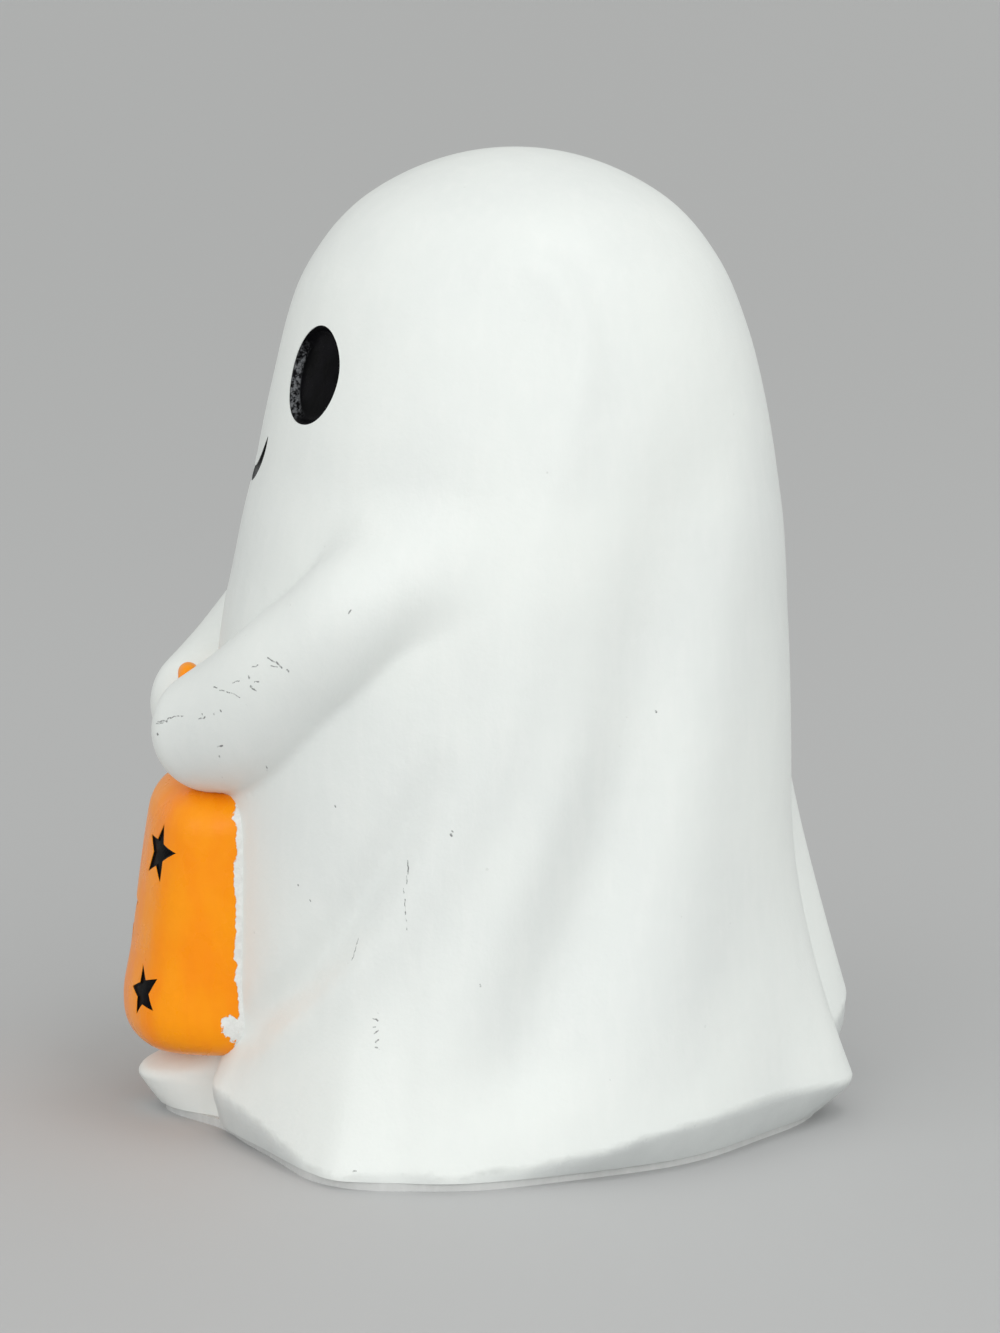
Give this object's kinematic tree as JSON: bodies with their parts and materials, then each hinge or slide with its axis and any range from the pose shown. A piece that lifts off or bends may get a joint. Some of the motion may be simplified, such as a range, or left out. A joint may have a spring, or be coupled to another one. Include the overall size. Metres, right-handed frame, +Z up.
{
  "type": "ghost figure",
  "caption": "Free-standing ceramic sheet-ghost ornament with draped folds, flared hem, inlaid eyes and smile, holding a small orange treat bag by its loop with both hands.",
  "frame": {"origin": "middle of the base on the surface it stands on", "axes": "+Z up to the crown, the face looks along -Y, the figure's left side is +X"},
  "size_m": [0.1575, 0.1785, 0.23],
  "materials": {
    "white_glaze": "satin cool-white glaze with fine scuffs",
    "orange_glaze": "glossy orange paint, worn white at the back edge",
    "black_gloss": "glossy black paint",
    "white_bisque": "dull unglazed white"
  },
  "bodies": {
    "root": {"body_shell": "white_glaze", "left_arm": "white_glaze", "right_arm": "white_glaze", "treat_bag": "orange_glaze", "bag_handle": "orange_glaze", "left_eye": "black_gloss", "right_eye": "black_gloss", "mouth": "black_gloss", "bag_stars": "black_gloss", "base_plate": "white_bisque"}
  },
  "joints": []
}
